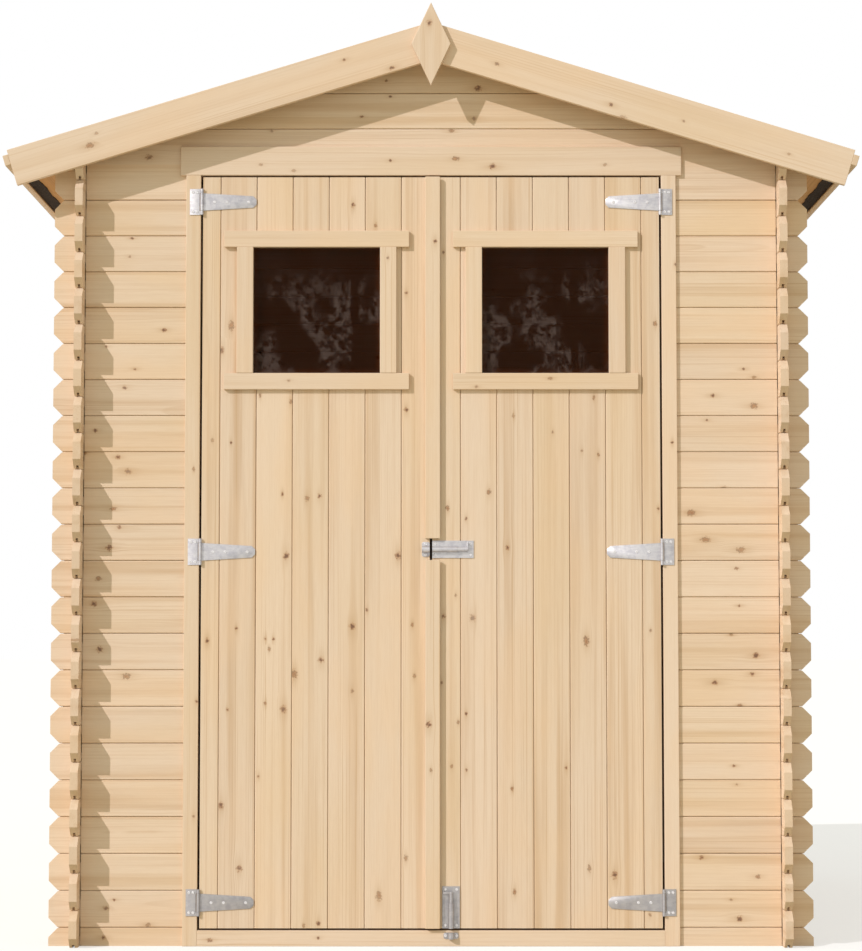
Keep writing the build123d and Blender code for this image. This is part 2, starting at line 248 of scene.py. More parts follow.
def woodMaterial(name, look):
    material, tree, shader = newMaterial(name)
    grain = attribute(tree, "grain")
    along, across, through = parts(tree, grain)
    knotAlong, knotAcross, knotSize = parts(tree, attribute(tree, "knot"))
    light, warmth, figure = parts(tree, attribute(tree, "tone"))
    knotDepth, endGrain, knotKind = parts(tree, attribute(tree, "sawn"))

    # how far this point is from the knot, in knot sizes
    size = calc(tree, "MAXIMUM", knotSize, 0.0001)
    offAlong = calc(tree, "SUBTRACT", along, knotAlong)
    offAcross = calc(tree, "SUBTRACT", across, knotAcross)
    uneven = noise(tree, stretch(tree, grain, (190, 190, 190)), detail=3)
    squash = calc(tree, "MULTIPLY_ADD", knotKind, -0.45, 1.05)
    near = calc(tree, "DIVIDE", distance(tree, times(tree, offAlong, squash), offAcross), size)
    near = calc(tree, "ADD", near, calc(tree, "MULTIPLY_ADD", uneven, 2.2, -1.05))
    far = calc(tree, "DIVIDE", distance(tree, times(tree, offAlong, 0.36), offAcross), size)
    pull = calc(tree, "EXPONENT", times(tree, calc(tree, "POWER", far, 2.0), -0.3))

    # year rings of a slightly crooked trunk, bent round the knot
    sway = noise(tree, stretch(tree, grain, (1.3, 3, 3)), detail=1)
    shiver = noise(tree, stretch(tree, grain, (9, 16, 16)), detail=2)
    bent = calc(tree, "MULTIPLY_ADD", times(tree, offAcross, pull), grainLook["bend"], across)
    radius = distance(tree, bent, through)
    radius = calc(tree, "MULTIPLY_ADD", calc(tree, "SUBTRACT", sway, 0.5), grainLook["sway"], radius)
    radius = calc(tree, "MULTIPLY_ADD", calc(tree, "SUBTRACT", shiver, 0.5), grainLook["shiver"], radius)
    years = times(tree, radius, grainLook["years"])
    years = calc(tree, "MULTIPLY_ADD", lineNoise(tree, radius, 45), grainLook["unevenYears"], years)
    season = calc(tree, "FRACT", years)
    late = times(tree, calc(tree, "POWER", season, 2.2), spread(tree, season, 1.0, 0.88))
    rings = times(tree, late, spread(tree, lineNoise(tree, radius, 60), 0.42, 0.68, 0.15, 1.0))

    # soft streaks, groups of fine lines, fibres and pinker or yellower places
    bentGrain = tree.nodes.new("ShaderNodeCombineXYZ")
    for socket, value in zip(bentGrain.inputs, (along, bent, through)):
        tree.links.new(value, socket)
    bentGrain = bentGrain.outputs[0]
    streaks = noise(tree, stretch(tree, bentGrain, (0.7, 34, 34)), detail=3, roughness=0.55)
    lines = noise(tree, stretch(tree, bentGrain, (1.1, 300, 300)), detail=2, roughness=0.6)
    lineGroups = noise(tree, stretch(tree, grain, (1.1, 17, 17)), detail=1)
    fibres = noise(tree, stretch(tree, grain, (22, 900, 900)), detail=2)
    cloud = noise(tree, stretch(tree, grain, (3, 10, 10)), detail=2)
    drift = noise(tree, stretch(tree, grain, (1.6, 7, 7)), detail=1)

    pale, lateTone = paint(*look["pale"]), paint(*look["late"])
    ringDepth = times(tree, spread(tree, figure, -0.4, 1.0, 0.12, 1.7), look["rings"])
    lineDepth = times(tree, spread(tree, lines, 0.5, 0.72), spread(tree, lineGroups, 0.4, 0.66, 0.12, 0.66))
    colour = blend(tree, times(tree, rings, ringDepth), pale, lateTone)
    for depth, tone in (
        (spread(tree, streaks, 0.46, 0.74, 0.0, look["streaks"]), lateTone),
        (lineDepth, lateTone),
        (spread(tree, cloud, 0.4, 0.7, 0.0, 0.4), paint(*grainLook["pinker"])),
        (spread(tree, drift, 0.5, 0.75, 0.0, 0.3), paint(*grainLook["yellower"])),
        (spread(tree, fibres, 0.35, 0.75, 0.0, 0.16), lateTone),
        (times(tree, endGrain, 0.5), paint(*grainLook["endGrain"])),
    ):
        colour = blend(tree, depth, colour, tone)

    # the board's own lightness and warmth
    shade = tree.nodes.new("ShaderNodeHueSaturation")
    feed(tree, shade.inputs["Hue"], calc(tree, "MULTIPLY_ADD", warmth, grainLook["hue"], 0.5))
    feed(tree, shade.inputs["Saturation"], calc(tree, "MULTIPLY_ADD", warmth, grainLook["saturation"], 1.0))
    feed(tree, shade.inputs["Value"], calc(tree, "MULTIPLY_ADD", light, grainLook["value"], 1.0))
    feed(tree, shade.inputs["Color"], colour)
    colour = shade.outputs[0]

    # knots: a soft halo, a brown ring and a dark heart
    strength = calc(tree, "MULTIPLY_ADD", knotDepth, 0.55, 0.25)
    halo = times(tree, times(tree, calc(tree, "POWER", pull, 2.2), strength), knotLook["haloDepth"])
    halo = times(tree, halo, spread(tree, cloud, 0.2, 0.8, 0.6, 1.2))
    colour = blend(tree, halo, colour, paint(*knotLook["halo"]))
    core = spread(tree, near, 1.45, 0.35)
    heartTone, ringTone, rimTone = (paint(*knotLook[part]) for part in ("heart", "ring", "rim"))
    solid = ramp(tree, near, [(0.0, heartTone), (0.3, heartTone), (0.62, ringTone), (1.0, rimTone)])
    ringed = ramp(tree, near, [(0.0, ringTone), (0.4, rimTone), (0.72, heartTone), (1.0, rimTone)])
    knot = blend(tree, calc(tree, "GREATER_THAN", knotKind, knotLook["ringed"]), solid, ringed)
    colour = blend(tree, times(tree, core, strength), colour, knot)
    tree.links.new(colour, shader.inputs["Base Color"])

    rough = calc(tree, "MULTIPLY_ADD", rings, -0.08, look["rough"])
    tree.links.new(calc(tree, "MULTIPLY_ADD", core, -0.15, rough), shader.inputs["Roughness"])
    shader.inputs["Specular IOR Level"].default_value = grainLook["gloss"]
    relief = calc(tree, "MULTIPLY_ADD", rings, 0.5, times(tree, fibres, 0.8))
    relief = calc(tree, "SUBTRACT", relief, times(tree, core, 0.3))
    bump(tree, shader, relief, grainLook["relief"], grainLook["reliefHeight"])
    return material


feltLook = {
    "dark": (36, 27, 20), "light": (86, 72, 60), "worn": (48, 36, 28), "grains": 240, "patches": 7,
    "rough": 0.92, "grainRough": 0.75, "gloss": 0.25, "grainHeight": 0.0012,
}


def feltMaterial(look):
    # mineral grains pressed into tar
    material, tree, shader = newMaterial("mineralFelt")
    place = tree.nodes.new("ShaderNodeTexCoord").outputs["Object"]
    grains = noise(tree, place, look["grains"], detail=3, roughness=0.7)
    patches = noise(tree, place, look["patches"], detail=3)
    colour = blend(tree, spread(tree, grains, 0.42, 0.75), paint(*look["dark"]), paint(*look["light"]))
    colour = blend(tree, spread(tree, patches, 0.4, 0.7, 0.0, 0.35), colour, paint(*look["worn"]))
    tree.links.new(colour, shader.inputs["Base Color"])
    rough = spread(tree, grains, 0.3, 0.8, look["rough"], look["grainRough"])
    tree.links.new(rough, shader.inputs["Roughness"])
    shader.inputs["Specular IOR Level"].default_value = look["gloss"]
    bump(tree, shader, grains, 0.6, look["grainHeight"])
    return material


zincLook = {
    "pale": (206, 203, 203), "dull": (186, 184, 188), "rolled": (176, 172, 178), "screws": (230, 228, 228),
    "groundShade": (134, 128, 122), "groundShadeBelow": 0.2,  # painted shade: the ironmongery below this height is darker
    "spangle": 70, "rough": 0.5, "metal": 0.75, "relief": 0.25, "reliefHeight": 0.0004,
}


def zincMaterial(look):
    # zinc plating with dull patches, a painted sheen in faint bands and painted shade on the lowest
    # ironmongery
    material, tree, shader = newMaterial("zincPlating")
    place = tree.nodes.new("ShaderNodeTexCoord").outputs["Object"]
    patches = noise(tree, place, look["spangle"], detail=4, roughness=0.6)
    lines = noise(tree, stretch(tree, place, (60, 60, 420)), detail=2)
    colour = blend(tree, spread(tree, patches, 0.35, 0.7), paint(*look["pale"]), paint(*look["dull"]))
    # painted sheen: faint bluish-grey bands across the plates
    colour = blend(tree, spread(tree, lines, 0.45, 0.75, 0.0, 0.5), colour, paint(*look["rolled"]))
    # painted shade: the zinc turns darker towards the ground, over its lowest 0.2 m
    level = parts(tree, place)[2]
    low = spread(tree, level, look["groundShadeBelow"] + 0.05, look["groundShadeBelow"], 0.0, 0.42)
    colour = blend(tree, low, colour, paint(*look["groundShade"]))
    fresh = parts(tree, attribute(tree, "fresh"))[0]
    colour = blend(tree, fresh, colour, paint(*look["screws"]))
    tree.links.new(colour, shader.inputs["Base Color"])
    rough = spread(tree, patches, 0.3, 0.7, look["rough"] - 0.08, look["rough"] + 0.12)
    tree.links.new(rough, shader.inputs["Roughness"])
    shader.inputs["Metallic"].default_value = look["metal"]
    relief = calc(tree, "ADD", patches, times(tree, lines, 0.5))
    bump(tree, shader, relief, look["relief"], look["reliefHeight"])
    return material


glassLook = {
    "dark": (50, 24, 10), "rim": (92, 46, 22), "treeReflection": (112, 96, 92), "alpha": 0.35, "gloss": 0.06,
    "middle": (0.278, 1.5325), "half": 0.154,  # a pane's middle, across and up, and half its size
}


def glassMaterial(look):
    # a dark pane with brown edges and a painted reflection of trees: faint broken patches cut by dark
    # trunks, denser below
    material, tree, shader = newMaterial("windowPane")
    place = tree.nodes.new("ShaderNodeTexCoord").outputs["Object"]
    side, _, level = parts(tree, place)
    offSide = calc(tree, "SUBTRACT", calc(tree, "ABSOLUTE", side), look["middle"][0])
    offLevel = calc(tree, "SUBTRACT", level, look["middle"][1])
    toEdge = calc(tree, "MAXIMUM", calc(tree, "ABSOLUTE", offSide), calc(tree, "ABSOLUTE", offLevel))
    rim = spread(tree, toEdge, look["half"] * 0.9, look["half"], 0.0, 0.7)
    specks = noise(tree, place, 62, detail=8, roughness=0.72)
    masses = noise(tree, stretch(tree, place, (1, 1, 0.7)), 11, detail=2)
    wobble = calc(tree, "MULTIPLY_ADD", noise(tree, place, 14, detail=2), 0.03, side)
    bars = spread(tree, lineNoise(tree, wobble, 21), 0.6, 0.66)
    gaps = times(tree, spread(tree, specks, 0.47, 0.53), spread(tree, masses, 0.46, 0.56))
    low = spread(tree, offLevel, look["half"] * 0.75, look["half"] * 0.1, 0.12, 0.9)
    # painted reflection of trees: broken grey patches, cut by dark trunks and stronger low on the pane
    treeReflection = times(tree, times(tree, gaps, low), calc(tree, "SUBTRACT", 1.0, bars))
    colour = blend(tree, rim, paint(*look["dark"]), paint(*look["rim"]))
    colour = blend(tree, times(tree, treeReflection, 0.8), colour, paint(*look["treeReflection"]))
    tree.links.new(colour, shader.inputs["Base Color"])
    tree.links.new(spread(tree, masses, 0.3, 0.8, 0.02, 0.08), shader.inputs["Roughness"])
    shader.inputs["Alpha"].default_value = look["alpha"]
    shader.inputs["Specular IOR Level"].default_value = look["gloss"]
    return material


finishes = {slot: woodMaterial(slot + "Spruce", look) for slot, look in woodLooks.items()}
finishes["roofing_felt"] = feltMaterial(feltLook)
finishes["galvanised_steel"] = zincMaterial(zincLook)
finishes["window_glass"] = glassMaterial(glassLook)
print("materials made")


# Knots of the front, rounded to 5 mm: across the shed and up from the ground in millimetres, how
# large they look and how dark

small, middle, large = 5, 7, 10
faint, clear, dark = 0.5, 0.8, 1.0
seenKnots = {
    "front_wall_left": [
        (-730, 1710, small, dark), (-735, 1665, small, faint), (-650, 1485, middle, dark),
        (-790, 1445, small, clear), (-720, 1390, small, clear), (-745, 1345, middle, clear),
        (-815, 1240, middle, dark), (-840, 1185, small, dark), (-760, 1175, middle, dark),
        (-735, 1140, large, faint), (-770, 1050, middle, dark), (-755, 1005, middle, clear),
        (-780, 955, large, dark), (-805, 880, middle, dark), (-815, 820, large, dark),
        (-800, 710, large, dark), (-735, 645, large, clear), (-760, 110, small, dark),
        (-780, 90, middle, clear), (-680, 50, middle, clear), (-785, 20, middle, dark),
    ],
    "front_wall_right": [
        (760, 1390, small, clear), (785, 1370, small, clear), (685, 1325, middle, dark),
        (785, 1300, large, dark), (670, 1265, small, clear), (710, 1100, middle, faint),
        (630, 1040, large, dark), (665, 975, large, dark), (750, 950, large, clear),
        (740, 905, small, dark), (745, 815, small, dark), (725, 745, small, dark),
        (785, 695, large, dark), (775, 650, middle, dark), (685, 630, large, dark),
        (745, 575, small, dark), (730, 430, small, dark), (735, 385, small, faint),
        (650, 210, middle, dark), (785, 165, middle, clear), (720, 110, small, faint),
        (740, 65, large, dark),
    ],
    "left_door_panel": [
        (-190, 1790, middle, dark), (-135, 1740, small, dark), (-60, 1575, small, clear),
        (-485, 1495, large, clear), (-510, 1435, large, clear), (-415, 1325, small, dark),
        (-340, 1310, small, clear), (-60, 1290, middle, dark), (-530, 1215, small, faint),
        (-485, 1210, small, dark), (-360, 1085, small, dark), (-270, 1080, middle, dark),
        (-300, 1075, middle, clear), (-350, 935, large, dark), (-80, 935, large, dark),
        (-155, 805, small, clear), (-45, 770, small, dark), (-190, 765, large, dark),
        (-470, 760, small, dark), (-400, 735, small, dark), (-380, 735, small, dark),
        (-540, 730, middle, dark), (-390, 710, small, clear), (-265, 685, large, dark),
        (-330, 650, large, dark), (-40, 645, small, clear), (-190, 610, middle, faint),
        (-400, 580, small, dark), (-490, 565, small, dark), (-355, 565, large, clear),
        (-415, 405, small, dark), (-505, 335, large, dark), (-60, 210, middle, clear),
        (-460, 185, large, clear), (-125, 120, large, clear), (-270, 55, middle, dark),
        (-305, 50, small, clear),
    ],
    "right_door_panel": [
        (30, 1675, small, clear), (545, 1500, middle, dark), (395, 1320, small, dark),
        (200, 1275, small, faint), (295, 1235, small, faint), (365, 1190, small, faint),
        (405, 1180, small, dark), (140, 1090, middle, dark), (550, 1050, small, dark),
        (40, 1050, middle, dark), (85, 1025, small, clear), (185, 955, middle, dark),
        (60, 840, small, faint), (30, 790, middle, dark), (100, 785, large, faint),
        (530, 755, small, faint), (375, 730, large, dark), (25, 630, small, clear),
        (85, 555, small, dark), (65, 535, small, clear), (50, 430, small, clear),
        (325, 425, small, dark), (85, 420, small, clear), (195, 375, small, dark),
        (380, 185, middle, clear), (440, 170, large, dark), (200, 130, middle, dark),
        (525, 75, small, clear),
    ],
    "door_jamb_left": [(-575, 1145, small, clear), (-565, 585, small, dark), (-570, 310, small, faint)],
    "door_jamb_right": [(595, 1645, small, clear), (585, 1210, small, dark)],
    "meeting_strip": [(10, 1700, middle, dark), (-5, 530, large, dark), (0, 420, small, clear)],
    "door_threshold": [(-270, 20, small, dark), (-530, 15, middle, clear)],
    "door_head": [
        (60, 1905, middle, dark), (-100, 1900, small, dark), (-415, 1890, small, faint),
        (425, 1890, small, faint), (150, 1885, large, dark), (-335, 1875, small, faint),
    ],
    "left_window_rails": [(-345, 1360, small, faint)],
    "right_window_rails": [(290, 1365, small, clear), (110, 1345, small, faint)],
    "left_window_stiles": [(-105, 1660, small, faint)],
    "right_window_stiles": [(75, 1660, small, faint)],
    "front_gable": [
        (-110, 2100, small, clear), (115, 2080, large, dark), (-100, 2060, small, dark),
        (-170, 2010, small, dark), (105, 2005, middle, faint), (50, 1975, middle, clear),
        (-390, 1975, small, faint), (-690, 1910, large, clear), (-745, 1855, small, dark),
    ],
    "bargeboard_front_left": [
        (-210, 2135, small, clear), (-95, 2115, middle, clear), (-810, 1955, small, faint),
        (-825, 1925, large, clear),
    ],
    "bargeboard_front_right": [
        (160, 2125, middle, faint), (435, 2025, middle, clear), (465, 1995, middle, faint),
        (610, 1985, small, faint), (865, 1905, small, faint),
    ],
}


# Boards cut from the CAD shapes

boardWork = {
    "gap": 0.0006,  # half the open line between two boards
    "arris": 0.0017,  # planed corner along a joint
    "edge": 0.0012,  # planed corner of trim
    "edgeSegments": 2,
    "crevice": 0.002,  # rounded rear corner where trim meets what it is nailed to
    "tongue": 0.007,
    "groove": 0.008,
    "tongueWidth": 0.006,
    "tongueStop": 0.029,  # tongue ends this far inside the tip of a wall board
    "notchPlay": 0.0015,  # room in the notches where two walls cross
    "dado": 0.002,  # depth of the slot that the crossing boards seat in
    "dadoWall": 0.0002,  # slope of the slot's sides
    "narrowest": 0.004,  # no board is sawn narrower than this
    "knotEvery": 0.55,  # metres of board for one knot
    "knotRadius": (0.0025, 0.007),
    "pithAside": 0.045,  # how far the heart of the trunk may lie beside a board's middle
    "pithDepth": (0.014, 0.075),  # and how far in front or behind
    "knotSize": 0.00076,  # radius of a knot's dark part for each millimetre seen
}


def flatten(shape):
    # joins faces that lie in one plane
    bmesh.ops.dissolve_limit(shape, angle_limit=0.01, verts=shape.verts, edges=shape.edges)


def nodeShape(node):
    # a clean copy of one CAD node
    shape = bmesh.new()
    shape.from_mesh(frame["nodes"][node].data)
    for layer in list(shape.loops.layers.uv.values()):
        shape.loops.layers.uv.remove(layer)
    bmesh.ops.remove_doubles(shape, verts=shape.verts, dist=samePlace)
    flatten(shape)
    return shape


def cutAcross(shape, place, way, clear=False):
    # cuts the faces along a plane, and clears what lies past it if asked
    everything = shape.verts[:] + shape.edges[:] + shape.faces[:]
    return bmesh.ops.bisect_plane(
        shape, geom=everything, dist=samePlane, plane_co=place, plane_no=way, clear_outer=clear
    )


def sawBetween(shape, axis, low, high):
    # the slice of a shape between two places along an axis, closed at both cuts
    board = shape.copy()
    for place, way in ((low, -1.0), (high, 1.0)):
        cut = cutAcross(board, axis * place, axis * way, clear=True)
        rim = [edge for edge in cut["geom_cut"] if isinstance(edge, bmesh.types.BMEdge)]
        bmesh.ops.holes_fill(board, edges=rim, sides=0)
    return board


def bevelEdges(board, amount, choose=None, segments=1):
    # planes the corners of a board, all of them or the chosen ones
    edges = [
        edge for edge in board.edges
        if len(edge.link_faces) == 2 and edge.calc_face_angle(0) > 0.35 and (choose is None or choose(edge))
    ]
    if edges:
        bmesh.ops.bevel(
            board, geom=edges, offset=amount, offset_type="OFFSET", affect="EDGES",
            segments=segments, profile=0.5, material=-1, clamp_overlap=True,
        )


def islands(shape):
    # one bmesh for each separate solid
    left = set(shape.verts)
    found = []
    while left:
        grown, edge = set(), [next(iter(left))]
        while edge:
            vert = edge.pop()
            if vert not in grown:
                grown.add(vert)
                edge += [e.other_vert(vert) for e in vert.link_edges]
        left -= grown
        found.append(sorted(v.index for v in grown))
    found.sort()
    solids = []
    for keep in found:
        solid = shape.copy()
        solid.verts.ensure_lookup_table()
        keep = set(keep)
        bmesh.ops.delete(solid, geom=[v for v in solid.verts if v.index not in keep], context="VERTS")
        solids.append(solid)
    return solids


def chanceKnots(length, start, middle, width):
    # a few knots for a board of a node that has none in the list
    count = int(length / boardWork["knotEvery"] + chance.random())
    return [
        (start + chance.random() * length, middle + (chance.random() - 0.5) * width * 0.8,
         chance.uniform(*boardWork["knotRadius"]), chance.uniform(0.4, 1.0))
        for _ in range(count)
    ]


def knotsOn(node, along, across, low, high):
    # the listed knots on one board of a node, whose edges lie between two places across the grain
    if node not in seenKnots:
        return None
    found = []
    for side, level, radius, depth in seenKnots[node]:
        spot = Vector((side, 0, level)) / 1000
        if low <= spot.dot(across) <= high:
            found.append((spot.dot(along), spot.dot(across), radius * boardWork["knotSize"], depth))
    return found


def markBoard(board, along, across, knots=None):
    # writes the grain, knot and tone that the wood materials read, after cutting the faces halfway
    # between the knots, because each face reads one knot
    through = along.cross(across)
    runs = [v.co.dot(along) for v in board.verts]
    spans = [v.co.dot(across) for v in board.verts]
    depths = [v.co.dot(through) for v in board.verts]
    start, length = min(runs), max(runs) - min(runs)
    middle, width = (min(spans) + max(spans)) / 2, max(spans) - min(spans)
    if knots is None:
        knots = chanceKnots(length, start, middle, width)
    for n, (runA, spanA, *_) in enumerate(knots):
        for runB, spanB, *_ in knots[n + 1:]:
            apart = along * (runB - runA) + across * (spanB - spanA)
            halfway = along * ((runA + runB) / 2) + across * ((spanA + spanB) / 2)
            cutAcross(board, halfway, apart.normalized())
    shift = chance.random() * 40
    pithAcross = middle + chance.uniform(-boardWork["pithAside"], boardWork["pithAside"])
    pithSide = chance.choice((-1, 1))
    pithThrough = (min(depths) + max(depths)) / 2 + pithSide * chance.uniform(*boardWork["pithDepth"])
    board.normal_update()
    grainLayer = board.verts.layers.float_vector.new("grain")
    knotLayer = board.faces.layers.float_vector.new("knot")
    sawnLayer = board.faces.layers.float_vector.new("sawn")
    toneLayer = board.faces.layers.float_vector.new("tone")
    for vert in board.verts:
        run, span, depth = (vert.co.dot(axis) for axis in (along, across, through))
        vert[grainLayer] = (run + shift, span - pithAcross, depth - pithThrough)
    tone = [chance.uniform(-1, 1) for _ in range(3)]
    for face in board.faces:
        face[toneLayer] = tone
        endGrain = abs(face.normal.dot(along))
        if knots:
            centre = face.calc_center_median()
            run, span = centre.dot(along), centre.dot(across)
            near = min(knots, key=lambda k: (k[0] - run) ** 2 + (k[1] - span) ** 2)
            kind = (near[0] * 7919 + near[1] * 3571) % 1  # as good as random, yet fixed to the place
            face[knotLayer] = (near[0] + shift, near[1] - pithAcross, near[2])
            face[sawnLayer] = (near[3], endGrain, kind)
        else:
            face[knotLayer] = (0, 0, 0)
            face[sawnLayer] = (0, endGrain, 0)


def makePiece(name, node, shapes, smooth=None):
    # joins the shapes into one object at the origin, which takes the CAD node's place
    whole = gather(shapes)
    mesh = bpy.data.meshes.new(name)
    whole.to_mesh(mesh)
    whole.free()
    if smooth:
        mesh.shade_smooth()
        mesh.set_sharp_from_angle(angle=math.radians(smooth))
    mesh.materials.append(finishes[slotOf[node]])
    piece = bpy.data.objects.new(name, mesh)
    bpy.context.scene.collection.objects.link(piece)
    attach(piece, bodyOf[node])
    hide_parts(node)


def gather(shapes):
    # several shapes as one
    whole = bmesh.new()
    carrier = bpy.data.meshes.new("carrier")
    for shape in shapes:
        shape.to_mesh(carrier)
        whole.from_mesh(carrier)
        shape.free()
    bpy.data.meshes.remove(carrier)
    return whole


def easeNotches(shape, along, notches):
    # widens the notches where two walls cross, so that their edges show as open lines
    for place, way in zip(notches, (-1, 1)):
        for end in (-1, 1):
            verts = [v for v in shape.verts if abs(v.co.dot(along) - end * place) < samePlace]
            bmesh.ops.translate(shape, verts=verts, vec=along * (end * way * boardWork["notchPlay"]))


def cutDado(shape, along, through, notches):
    # a shallow slot in both faces, where the crossing boards seat
    depths = [v.co.dot(through) for v in shape.verts]
    front, rear = min(depths), max(depths)
    inner, outer = notches[0] - boardWork["notchPlay"], notches[1] + boardWork["notchPlay"]
    slope = boardWork["dadoWall"]
    for end in (-1, 1):
        for place in (inner - slope, inner, outer, outer + slope):
            cutAcross(shape, along * end * place, along)
        inSlot = [v for v in shape.verts if inner - samePlace < end * v.co.dot(along) < outer + samePlace]
        for face, way in ((front, 1), (rear, -1)):
            verts = [v for v in inSlot if abs(v.co.dot(through) - face) < samePlace]
            bmesh.ops.translate(shape, verts=verts, vec=through * (way * boardWork["dado"]))


def matchBoard(board, split, low, high, across, along):
    # gives a board a groove below and a tongue above: it is sawn into bars, the bars that aren't
    # wood are left out, and the rest are joined again
    depths = [v.co.dot(across) for v in board.verts]
    reach = max(abs(v.co.dot(along)) for v in board.verts) - boardWork["tongueStop"]
    front, rear = min(depths) - 0.001, max(depths) + 0.001
    near = (min(depths) + max(depths) - boardWork["tongueWidth"]) / 2
    far = near + boardWork["tongueWidth"]
    floor = low + boardWork["groove"]
    bars = []
    for start, end, levels in (
        (front, near, ((low, floor), (floor, high))),
        (near, far, ((floor, high), (high, high + boardWork["tongue"]))),
        (far, rear, ((low, floor), (floor, high))),
    ):
        slab = sawBetween(board, across, start, end)
        for bottom, top in levels:
            if bottom == high:
                tongue = sawBetween(slab, split, bottom, top)
                bar = sawBetween(tongue, along, -reach, reach)
                tongue.free()
            else:
                bar = sawBetween(slab, split, bottom, top)
            for place in (-reach, reach):
                cutAcross(bar, along * place, along)
            bars.append(bar)
        slab.free()
    board.free()
    whole = gather(bars)
    whole.normal_update()
    faces = list(whole.faces)
    middles = KDTree(len(faces))
    for n, face in enumerate(faces):
        middles.insert(face.calc_center_median(), n)
    middles.balance()

    def isJoint(face):
        # another bar's face lies here and looks the other way
        here = middles.find_range(face.calc_center_median(), samePlace)
        return any(faces[n].normal.dot(face.normal) < -0.9 for _, n, _ in here)

    bmesh.ops.delete(whole, geom=[face for face in faces if isJoint(face)], context="FACES_ONLY")
    bmesh.ops.remove_doubles(whole, verts=whole.verts, dist=samePlace)
    flatten(whole)
    return whole


def boardedNode(node, split, joints, along, arris=None, through=None, notches=()):
    # a CAD panel sawn into its boards at the joints, with tongues and grooves where the way
    # through it is given
    shape = nodeShape(node)
    if notches:
        easeNotches(shape, along, notches)
        cutDado(shape, along, through, notches)
    eased = [place + way * boardWork["notchPlay"] for place, way in zip(notches, (-1, 1))]
    places = [v.co.dot(split) for v in shape.verts]
    lowest, highest = min(places) - 0.001, max(places) + 0.001
    least = boardWork["narrowest"]
    stops = [lowest] + [joint for joint in joints if lowest + least < joint < highest - least] + [highest]
    gap, arris = boardWork["gap"], arris or boardWork["arris"]
    boards = []
    for near, far in zip(stops, stops[1:]):
        low = near + gap * (near != lowest)
        high = far - gap * (far != highest)
        if through:
            board = sawBetween(shape, split, low, high + boardWork["tongue"])
            board = matchBoard(board, split, low, high, through, along)
            depths = [v.co.dot(through) for v in board.verts] or [0]
            faces = (min(depths), max(depths))
        else:
            board = sawBetween(shape, split, low, high)

        def onJoint(edge):
            # on an outer face, and along a joint with the next board or with a crossing wall
            if through:
                depths = [v.co.dot(through) for v in edge.verts]
                if any(min(abs(depth - face) for face in faces) > samePlace for depth in depths):
                    return False
            spots = [v.co.dot(split) for v in edge.verts]
            ends = [abs(v.co.dot(along)) for v in edge.verts]
            return any(
                all(abs(spot - stop) < samePlace for spot in line)
                for line, marks in ((spots, (low, high)), (ends, eased)) for stop in marks
            )

        bevelEdges(board, arris, onJoint)
        bmesh.ops.dissolve_degenerate(board, dist=5e-6, edges=board.edges)
        if board.faces:
            markBoard(board, along, split, knotsOn(node, along, split, near, far))
            boards.append(board)
    shape.free()
    makePiece("boards_" + node, node, boards)


def planedNode(node, along, across, rear=None):
    # a CAD node whose solids are single boards, with planed corners and, where the way to the rear
    # is given, an open line there
    shape = nodeShape(node)
    boards = islands(shape)
    shape.free()
    edge, segments = boardWork["edge"], boardWork["edgeSegments"]
    for board in boards:
        if rear:
            wall = max(v.co.dot(rear) for v in board.verts)
            eased = wall - boardWork["crevice"] * 1.2
            bevelEdges(
                board, boardWork["crevice"],
                lambda e: all(v.co.dot(rear) > wall - samePlace for v in e.verts),
            )
            bevelEdges(board, edge, lambda e: not all(v.co.dot(rear) > eased for v in e.verts), segments)
        else:
            bevelEdges(board, edge, segments=segments)
        spans = [v.co.dot(across) for v in board.verts]
        runs = [v.co.dot(along) for v in board.verts]
        knots = knotsOn(node, along, across, min(spans), max(spans))
        if knots is not None:
            knots = [k for k in knots if min(runs) <= k[0] <= max(runs)]
        markBoard(board, along, across, knots)
    makePiece("planed_" + node, node, boards)


# Walls

wallWork = {
    "courses": 30,  # more than enough, as joints above a wall's top are left out
    "frontNotches": (0.843, 0.862), "sideNotches": (0.875, 0.894),  # inner and outer edge, from the middle
}
frontJoints = [(n + 0.5) * course for n in range(wallWork["courses"])]
sideJoints = [(n + 1) * course for n in range(wallWork["courses"])]
for wallName in ("front_wall_left", "front_wall_right", "front_gable", "back_wall"):
    boardedNode(wallName, zAxis, frontJoints, xAxis, through=yAxis, notches=wallWork["frontNotches"])
for wallName in ("left_wall", "right_wall"):
    boardedNode(wallName, zAxis, sideJoints, yAxis, through=xAxis, notches=wallWork["sideNotches"])
print("walls boarded")


# Doors

doorWork = {"firstJoint": 0.0717, "joints": 6, "arris": 0.0015}
doorJoints = [doorWork["firstJoint"] + n * course for n in range(doorWork["joints"])]
mirroredJoints = [-joint for joint in reversed(doorJoints)]
for panelName, joints in (("left_door_panel", mirroredJoints), ("right_door_panel", doorJoints)):
    boardedNode(panelName, xAxis, joints, zAxis, doorWork["arris"], yAxis)
for sideName in ("left", "right"):
    planedNode(sideName + "_door_ledges", xAxis, zAxis, rear=-yAxis)
    planedNode(sideName + "_window_rails", xAxis, zAxis, rear=yAxis)
    planedNode(sideName + "_window_stiles", zAxis, xAxis, rear=yAxis)
    pane = frame["nodes"][sideName + "_window_glass"]
    pane.data.materials.clear()
    pane.data.materials.append(finishes["window_glass"])
planedNode("meeting_strip", zAxis, xAxis, rear=yAxis)
print("doors boarded")


# Door frame, roof and floor

roofWork = {"cover": 0.095, "boards": 12, "arris": 0.002}
floorWork = {"start": -0.9, "cover": 0.096, "boards": 20}


def slopes(way):
    # the ways down one side of the roof and straight out of it
    down = Vector((way * math.cos(pitch), 0, -math.sin(pitch)))
    out = Vector((way * math.sin(pitch), 0, math.cos(pitch)))
    return down, out


